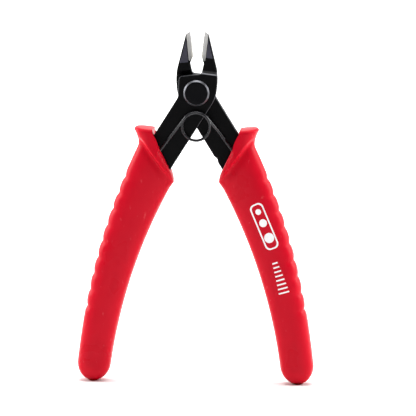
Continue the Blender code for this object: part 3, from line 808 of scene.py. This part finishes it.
# %% Sizes of a grip
GRIP_LENGTH, END_ROUND = 73.0 * MM, 6.6 * MM
END_WIDTH, TOP_WIDTH, WIDTH_POWER = 11.2 * MM, 16.3 * MM, 1.35
HALF_DEPTH, SECTION_POWER = 5.0 * MM, 2.5
INNER_SWELL = 0.45 * MM  # how far the inner face stands inside the CAD solid's
LOBE_PITCH, LOBE_DEPTH, FIRST_NOTCH, NOTCHES = 5.57 * MM, 0.55 * MM, 9.9 * MM, 9
NOTCH_POWER = 1.5  # a larger power makes a narrower notch
FLANGE_TOP, FLANGE_X = 14.4 * MM, 20.2 * MM
LIP_X, LIP_DROP, LIP_SLOPE, MOUTH_INNER_X = 13.5 * MM, 1.5 * MM, 1.6, 4.3 * MM
DROP_SLOPE = 10  # how steeply the rim drops at the flange's inner edge
FLARE_LENGTH, MOUTH_END = 4.4 * MM, 6.0 * MM
RIM_ROUND = 0.9 * MM
RIM_STRETCH, STRETCH_LENGTH = 0.9, 2 * MM  # the rounding is this much taller where the rim slants
SEAM = 0.07 * MM  # how far the mould's parting line stands out
SEAM_BESIDE = 0.012  # the angle from the parting line to where its ridge ends

# %% Points round a section, evenly spaced
AROUND = 160
TYPICAL_HALF_WIDTH = 8 * MM
fine = np.linspace(0, math.pi / 2, 4000)
across_fine = TYPICAL_HALF_WIDTH * np.cos(fine) ** (2 / SECTION_POWER)
deep_fine = HALF_DEPTH * np.sin(fine) ** (2 / SECTION_POWER)
run = np.concatenate([[0], np.cumsum(np.hypot(np.diff(across_fine), np.diff(deep_fine)))])
quarter = np.interp(np.linspace(0, run[-1], AROUND // 4 + 1), run, fine)[1:-1]
first_half = [
    0.0, SEAM_BESIDE, *quarter, math.pi / 2,
    *(math.pi - quarter[::-1]), math.pi - SEAM_BESIDE, math.pi,
]
angles = first_half + [math.tau - angle for angle in first_half[-2:0:-1]]
seam_places = [angles.index(0.0), angles.index(math.pi)]
print(f"{len(angles)} points round each section, parting line at points {seam_places}")


# %% The skin of a grip, by formula
def grip_width(along):
    share = max(0, 1 - along / GRIP_LENGTH)
    return END_WIDTH + (TOP_WIDTH - END_WIDTH) * share**WIDTH_POWER


def notch(along):
    """1 at the bottom of a notch, and 0 on the crest of a lobe."""
    place = (along - FIRST_NOTCH) / LOBE_PITCH
    if place < -0.5 or place > NOTCHES - 0.5:
        return 0
    return (1 - abs(math.sin(math.pi * place))) ** NOTCH_POWER


def squared(value):
    """A sine or a cosine, pushed out towards the corners of a squared oval."""
    return math.copysign(abs(value) ** (2 / SECTION_POWER), value)


def skin_point(along, angle, shrink=1):
    """A point of the skin. Angle 0 faces outward, and a quarter turn faces the back."""
    width = grip_width(along) + INNER_SWELL
    across = width / 2 * (1 + shrink * squared(math.cos(angle))) - INNER_SWELL
    across -= LOBE_DEPTH * notch(along) * max(0, math.cos(angle))
    if angle in (0.0, math.pi):
        across += math.copysign(SEAM, math.cos(angle)) * shrink
    x, z = grip_point(along, across)
    return Vector((x, HALF_DEPTH * shrink * squared(math.sin(angle)), z))


# %% [markdown]
# The mouth is the difficult part. Its rim is flat on top of the flange, drops a little, and then
# slants down across the steel leg. The side wall below it flares out to meet it. A raised collar goes
# round the leg: a step slants across the grip from the body up to the collar's crest, and from there
# the collar falls away towards the rim. The rim's edge is rounded over in a few small steps, and
# strips from front to back close the top.

# %% The rim and the collar
STEP_WIDTH = 1.0 * MM  # how wide the step from the body up to the collar is
COLLAR_OUTER, COLLAR_INNER = 2.0 * MM, 0.9 * MM  # how far the collar's crest stands proud at its two ends
COLLAR_FALL = 0.28  # how steeply it falls away from the crest towards the lip
DIP, DIP_WIDTH, DIP_SHIFT = 0.35 * MM, 1.4 * MM, 0.7  # the body sinks this much beside the step
TURN_X, TURN_Z = -16.0 * MM, -19.4 * MM  # the step is straight on the inner side of this point
STEP_SLOPE, STEP_CURVE = 1.07, 210  # and curves down on the outer side of it


def past_step(x, z):
    """How far a point lies on the collar's side of the step, which slants across the grip."""
    line = TURN_Z - STEP_SLOPE * (x - TURN_X) - STEP_CURVE * max(0, TURN_X - x) ** 2
    return (z - line) / math.hypot(1, STEP_SLOPE)


def collar_height(x, z, share):
    """How far the collar stands proud here. share runs from its outer end, 0, to its inner end, 1."""
    past = past_step(x, z)
    rise = min(1, max(0, past / STEP_WIDTH + 0.5))
    proud = COLLAR_OUTER + (COLLAR_INNER - COLLAR_OUTER) * share
    proud -= COLLAR_FALL * max(0, past - STEP_WIDTH / 2)
    return proud * rise * rise * (3 - 2 * rise) - DIP * math.exp(-((past / DIP_WIDTH + DIP_SHIFT) ** 2))


def rim_point(angle, inset=0.0, lower=0.0):
    """A point of the rim, moved in by inset and down by lower where its edge is rounded over."""
    share = (1 - squared(math.cos(angle))) / 2
    middle, reach = (FLANGE_X + MOUTH_INNER_X) / 2, (FLANGE_X - MOUTH_INNER_X) / 2
    x = -middle - (1 - 2 * share) * (reach - inset)
    past_top = max(0, x + LIP_X)
    z = -FLANGE_TOP - min(LIP_DROP, DROP_SLOPE * past_top) - LIP_SLOPE * past_top
    steep = 1 + RIM_STRETCH * min(1, past_top / STRETCH_LENGTH)
    depth = HALF_DEPTH + collar_height(x, z, share) - inset
    return Vector((x, depth * squared(math.sin(angle)), z - lower * steep))


def mouth_ring(share):
    """A ring between the first plain section (share 0) and the underside of the rim (share 1)."""
    ring = []
    for angle in angles:
        rim = rim_point(angle, lower=RIM_ROUND)
        rim_along = (TANG_ANGLE - math.atan2(rim.z - ARC_Z, ARC_X - rim.x)) * GRIP_RADIUS
        flare = rim - skin_point(rim_along, angle)
        left = (1 - share) * (MOUTH_END - rim_along)
        fade = max(0, 1 - left / FLARE_LENGTH) ** 2
        point = skin_point(MOUTH_END + (rim_along - MOUTH_END) * share, angle) + flare * fade
        inner = (1 - squared(math.cos(angle))) / 2
        point.y = (HALF_DEPTH + collar_height(point.x, point.z, inner)) * squared(math.sin(angle))
        ring.append(point)
    return ring


# %% All the rings of a grip
MOUTH_STEPS, RIM_STEPS, END_STEPS, RING_GAP = 64, 5, 14, 0.6 * MM


def grip_rings():
    rings = []
    for step in range(RIM_STEPS, 0, -1):
        turn = math.pi / 2 * step / RIM_STEPS
        inset, lower = RIM_ROUND * (1 - math.cos(turn)), RIM_ROUND * (1 - math.sin(turn))
        rings.append([rim_point(angle, inset, lower) for angle in angles])
    rings += [mouth_ring(1 - step / MOUTH_STEPS) for step in range(MOUTH_STEPS)]
    plain = math.ceil((GRIP_LENGTH - MOUTH_END) / RING_GAP)
    for step in range(plain):
        along = MOUTH_END + (GRIP_LENGTH - MOUTH_END) * step / plain
        rings.append([skin_point(along, angle) for angle in angles])
    for step in range(END_STEPS):
        turn = math.pi / 2 * step / END_STEPS
        along = GRIP_LENGTH + END_ROUND * math.sin(turn)
        rings.append([skin_point(along, angle, math.cos(turn)) for angle in angles])
    return rings


def strips(first, count, flip):
    """Faces that close a ring with strips from its front to its back."""
    faces = []
    for index in range(count // 2):
        across = [(count - index - 1) % count, (count - index) % count]
        corners = tuple(dict.fromkeys(first + place for place in (index, index + 1, *across)))
        faces.append(corners[::-1] if flip else corners)
    return faces


def grip_skin(name):
    rings = grip_rings()
    count = len(angles)
    points = [point for ring in rings for point in ring]
    faces = [
        (row + near, row + (near + 1) % count, row + count + (near + 1) % count, row + count + near)
        for row in range(0, len(points) - count, count)
        for near in range(count)
    ]
    faces += strips(0, count, False) + strips(len(points) - count, count, True)
    return mesh_of(name, points, faces)


# %% Pocket for the tang, and channel for the wire
POCKET_GAP, POCKET_TOP = 0.12 * MM, 6.87 * MM  # the pocket is open upwards, to this far along the leg
CHANNEL_GAP, CHANNEL_SPARE = 0.2 * MM, 2 * MM
KNEE_CLEAR = 1.2 * MM  # the channel's line is taken this far below the wire's knee


def pocket(name, layer):
    corners = [
        (*leg_point(POCKET_TOP, -LEG_INNER - POCKET_GAP), 0),
        *tang_corners(POCKET_GAP),
        (*leg_point(POCKET_TOP, LEG_OUTER + POCKET_GAP), 0),
    ]
    outline = [(point.x, -point.y) for point in round_corners(corners)]
    mesh = prism(name, outline, -PLATE / 2 - POCKET_GAP, PLATE / 2 + POCKET_GAP, 0)
    mesh.transform(Matrix.Translation((0, layer * LAYER, 0)) @ Matrix.Rotation(-math.pi / 2, 4, "X"))
    put_in_place(mesh, layer)
    return mesh


def wire_channel(name, layer):
    """A round hole along the straight part of the wire's leg on this side."""
    count = int(WIRE_LEG / SPACING)
    leg = path[:count] if layer == FRONT else path[-count:][::-1]
    foot, knee = leg[0], leg[int((WIRE_LEG - WIRE_KNEE - KNEE_CLEAR) / SPACING)]
    way = (foot - knee).normalized()
    middle, length = (foot + knee) / 2, (foot - knee).length + CHANNEL_SPARE
    mesh = prism(name, circle(WIRE_RADIUS + CHANNEL_GAP, 24), -length / 2, length / 2, 0)
    mesh.transform(Matrix.Translation(middle) @ way.to_track_quat("Z", "Y").to_matrix().to_4x4())
    return mesh


# %% [markdown]
# The plastic is a soft-gloss red. Three things keep it from looking like paint on a ball: a fine
# mould texture in the bump, a roughness that drifts over the surface, and scuffs where fingers and
# bench tops rub, which are paler than the rest.

# %% Red moulded plastic
plastic = Finish("red_grip_plastic_finish", (0.55, 0.004, 0.017), 0.0, 0.34, Specular_IOR_Level=0.07)
drift = plastic.noise(9 * MM, detail=2)
scuff = plastic.spread(plastic.noise(1.3 * MM, detail=6, stretch=(1, 1, 2)), 0, 1, 0.66, 0.78)
red = plastic.blend_colour(drift, (0.51, 0.003, 0.014), (0.58, 0.006, 0.020))
plastic.set(
    plastic.shader,
    Base_Color=plastic.blend_colour(scuff, red, (0.60, 0.04, 0.05)),
    Roughness=plastic.spread(drift, 0.26, 0.36),
)
plastic.bump(plastic.noise(0.35 * MM, detail=3), 0.012 * MM)
plastic.bump(plastic.noise(5 * MM, detail=1), 0.05 * MM)


# %% Mould the two grips
def make_grip(node, layer):
    mesh = grip_skin(node)
    mesh.materials.append(plastic.material)
    put_in_place(mesh, layer)
    hollows = [pocket(node + "_pocket", layer), wire_channel(node + "_channel", layer)]
    mesh = cut_away(show(node + "_skin", mesh), hollows)
    set_shading(mesh, math.radians(38))
    piece = show(node + "_moulding", mesh)
    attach(piece, BODY[layer])
    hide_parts(node)
    report(piece, node)
    return piece


grips = {layer: make_grip(node, layer) for layer, node in ((FRONT, "left_grip"), (REAR, "right_grip"))}

# %% [markdown]
# ## The printed mark
#
# The right grip carries a white pad print. Here it is a plain sign for the wire sizes that the tool
# cuts: a rounded frame with three discs that grow in size, and a short row of ticks below it. The
# marks are first drawn flat, X across the grip and Y along it. Discs and ticks repeat, so Geometry
# Nodes set them out: one instance for each point of a row, scaled by its number. Each flat mark is
# then carried to its place on the grip and laid on the skin, by casting every one of its points
# straight back onto the grip. A painted texture would do as well, but a mesh keeps its edges sharp
# from close by.

# %% White ink
ink = Finish("white_ink", (0.80, 0.80, 0.82), 0.0, 0.5)
thin = ink.noise(0.5 * MM, detail=4)
ink.set(
    ink.shader,
    Base_Color=ink.blend_colour(ink.spread(thin, 0, 1, 0.25, 0.4), (0.84, 0.62, 0.64), (0.90, 0.90, 0.92)),
    Roughness=ink.spread(thin, 0.42, 0.6),
)
ink.bump(thin, 0.004 * MM)


# %% Trees that set graded marks on points
def graded_marks(kind):
    """Each next mark is larger by Step: discs grow all round, ticks grow in length only."""
    inputs = dict.fromkeys(("Width", "Length", "First", "Step"), "Float")
    tree = Tree("graded_" + kind, **inputs, Finish="Material")
    if kind == "discs":
        mark = tree.add(
            "GeometryNodeMeshCircle", {"fill_type": "TRIANGLE_FAN"}, Radius=tree.source["Width"], Vertices=40
        )
    else:
        mark = tree.add(
            "GeometryNodeMeshGrid", Size_X=tree.source["Length"], Size_Y=tree.source["Width"],
            Vertices_X=13, Vertices_Y=3,
        )
    size = tree.add("ShaderNodeMath", {"operation": "MULTIPLY_ADD"})
    number = tree.add("GeometryNodeInputIndex")
    for value, socket in zip((number[0], tree.source["Step"], tree.source["First"]), size[0].node.inputs):
        tree.group.links.new(value, socket)
    scale = tree.add("ShaderNodeCombineXYZ", X=size[0], Y=size[0] if kind == "discs" else 1.0, Z=1.0)
    marks = tree.add(
        "GeometryNodeInstanceOnPoints", Points=tree.source["Geometry"], Instance=mark[0], Scale=scale[0]
    )
    tree.end(marks[0])
    return tree


# %% Flat marks: X across the grip, Y along it
DISC_PLACES = (-5.3, -1.2, 4.2)  # along the grip from the frame's middle, in mm
FIRST_TICK, TICK_PITCH, TICKS = -5.25, 1.5, 8
FRAME_LENGTH, FRAME_WIDTH, FRAME_LINE, FRAME_ROUND = 16.4 * MM, 4.8 * MM, 0.5 * MM, 1.7 * MM


def frame_mark(length, width, line, radius):
    """A rounded frame. Each point of its inner outline is drawn in towards the middle."""
    half_x, half_y = width / 2, length / 2
    corners = [(-half_x, -half_y), (half_x, -half_y), (half_x, half_y), (-half_x, half_y)]
    outer = round_corners([(x, y, radius) for x, y in corners], math.radians(9))
    inner = [
        Vector((point.x * (1 - 2 * line / width), point.y * (1 - 2 * line / length))) for point in outer
    ]
    count = len(outer)
    points = [(point.x, point.y, 0) for point in (*outer, *inner)]
    pairs = [(near, (near + 1) % count) for near in range(count)]
    return mesh_of("frame_mark", points, [(near, far, far + count, near + count) for near, far in pairs])


disc_row = graded_marks("discs").run(
    "disc_row", [(0, y * MM, 0) for y in DISC_PLACES], [],
    Width=1.0 * MM, Length=0.0, First=1.0, Step=0.36, Finish=ink.material,
)
tick_row = graded_marks("ticks").run(
    "tick_row", [(0, (FIRST_TICK + TICK_PITCH * number) * MM, 0) for number in range(TICKS)], [],
    Width=0.5 * MM, Length=1.9 * MM, First=1.0, Step=0.14, Finish=ink.material,
)
frame_line = frame_mark(FRAME_LENGTH, FRAME_WIDTH, FRAME_LINE, FRAME_ROUND)
flat_marks = (disc_row, tick_row, frame_line)
print("faces of the discs, ticks and frame:", [len(flat.polygons) for flat in flat_marks])


# %% Lay the marks on the right grip
FRAME_AT, TICKS_AT = (23.4 * MM, 0.53), (41.6 * MM, 0.50)  # down the grip, and a share of its width
INK_ABOVE, INK_THICK = 0.035 * MM, 0.075 * MM  # the ink's top above the skin, and its whole thickness
CAST_FROM = 0.05  # the rays start this far in front, in metres


def laid_on_grip(name, flat, along, share):
    """A thin closed slab of ink, centred this far down the grip and at this share of its width."""
    slab = flat.copy()
    for vert in slab.vertices:
        down = along + vert.co.y
        x, z = grip_point(down, grip_width(along) * share + vert.co.x)
        vert.co = (x, 0, z)
    put_in_place(slab, REAR)
    graph = bpy.context.evaluated_depsgraph_get()
    surface = BVHTree.FromObject(grips[REAR], graph)
    points = []
    for vert in slab.vertices:
        hit = surface.ray_cast(vert.co - Vector((0, CAST_FROM, 0)), Vector((0, 1, 0)))[0]
        points.append((vert.co.x, hit.y - INK_ABOVE, vert.co.z))
    faces = [tuple(face.vertices) for face in slab.polygons]
    count = len(points)
    points += [(x, y + INK_THICK, z) for x, y, z in points]
    sides = {}  # the edges that only one face has
    for face in faces:
        for near, far in zip(face, face[1:] + face[:1]):
            if sides.pop((far, near), None) is None:
                sides[near, far] = True
    closing = [tuple(index + count for index in reversed(face)) for face in faces]
    closing += [(far, near, near + count, far + count) for near, far in sides]
    mesh = mesh_of(name, points, [*faces, *closing])
    mesh.materials.append(ink.material)
    piece = show(name, mesh)
    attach(piece, BODY[REAR])
    print(f"{name}: {len(mesh.polygons)} faces")


laid_on_grip("mark_frame", frame_line, *FRAME_AT)
laid_on_grip("mark_discs", disc_row, *FRAME_AT)
laid_on_grip("mark_ticks", tick_row, *TICKS_AT)

# %% [markdown]
# ## The studio
#
# The tool stands on white paper under three large soft boxes, one above and one on each side. A glossy
# black piece shows what is in front of it, so the world is dark on the camera's side and bright
# behind: the steel and the grips stay deep in colour, and the background stays white. The paper glows
# a little further back, where the light of the boxes falls off. The camera has a long lens, so that
# nothing is drawn out of proportion, and stands slightly above the tool and to its right.


# %% Soft boxes
def area_light(name, place, target, size, power):
    data = bpy.data.lights.new(name, "AREA")
    data.shape, data.size, data.energy = "SQUARE", size, power
    light = bpy.data.objects.new(name, data)
    light.location = place
    light.rotation_euler = (Vector(target) - Vector(place)).to_track_quat("-Z", "Y").to_euler()
    bpy.context.scene.collection.objects.link(light)


area_light("top_box", (0.0, 0.1, 1.3), (0, 0.1, 0.06), 0.9, 19)
area_light("left_box", (-1.1, 0.2, 0.5), (0, 0, 0.06), 0.8, 15)
area_light("right_box", (1.1, 0.2, 0.5), (0, 0, 0.06), 0.8, 15)

# %% Studio: floor and world
FLOOR_REACH = 12.0
GLOW_NEAR, GLOW_FAR = -0.1, 0.6  # strengths at the tool and well behind it, and below 0 there is none
GLOW_FROM, GLOW_TO = 0.0, 0.6  # and where those are, in metres behind the tool
floor_finish = Finish(
    "studio_floor_paper", (0.92, 0.92, 0.92), 0.0, 0.8, Specular_IOR_Level=0.1, Emission_Color=(1, 1, 1, 1)
)
paper = floor_finish.noise(0.02)
behind = floor_finish.add("ShaderNodeSeparateXYZ", Vector=floor_finish.place).outputs["Y"]
glow = floor_finish.spread(behind, GLOW_NEAR, GLOW_FAR, GLOW_FROM, GLOW_TO)
floor_finish.set(
    floor_finish.shader, Emission_Strength=glow, Roughness=floor_finish.spread(paper, 0.75, 0.85)
)
floor_corners = [(FLOOR_REACH * x, FLOOR_REACH * y, 0) for x, y in ((-1, -1), (1, -1), (1, 1), (-1, 1))]
floor_mesh = bpy.data.meshes.new("studio_floor")
floor_mesh.from_pydata(floor_corners, [], [(0, 1, 2, 3)])
floor_mesh.materials.append(floor_finish.material)
floor = show("studio_floor", floor_mesh)

world = bpy.data.worlds.new("studio_world")
world.use_nodes = True
bpy.context.scene.world = world
world_nodes, world_links = world.node_tree.nodes, world.node_tree.links
background = world_nodes["Background"]
direction = world_nodes.new("ShaderNodeTexCoord")
split = world_nodes.new("ShaderNodeSeparateXYZ")
fade = world_nodes.new("ShaderNodeMapRange")
for label, value in (("From Min", -0.5), ("From Max", 0.5), ("To Min", 0.05), ("To Max", 1.2)):
    fade.inputs[label].default_value = value
world_links.new(direction.outputs["Generated"], split.inputs[0])
world_links.new(split.outputs["Y"], fade.inputs["Value"])
world_links.new(fade.outputs[0], background.inputs["Strength"])
background.inputs["Color"].default_value = (1, 1, 1, 1)
bpy.context.scene.view_settings.view_transform = "Standard"

# %% Camera
AIM = Vector((4.1 * MM, 0, 61.9 * MM))
ROLL = math.radians(0.35)  # a small turn of the camera about its own axis
DISTANCE, AZIMUTH, ELEVATION = 1.3, math.radians(4), math.radians(9)
LENS, SENSOR_WIDTH = 322, 36
lens_data = bpy.data.cameras.new("camera")
lens_data.lens, lens_data.sensor_width = LENS, SENSOR_WIDTH
camera = bpy.data.objects.new("camera", lens_data)
bpy.context.scene.collection.objects.link(camera)
back_way = Vector((
    math.sin(AZIMUTH) * math.cos(ELEVATION), -math.cos(AZIMUTH) * math.cos(ELEVATION), math.sin(ELEVATION)
))
camera.location = AIM + DISTANCE * back_way
camera.rotation_euler = ((-back_way).to_track_quat("-Z", "Y") @ Quaternion((0, 0, 1), ROLL)).to_euler()
bpy.context.scene.camera = camera
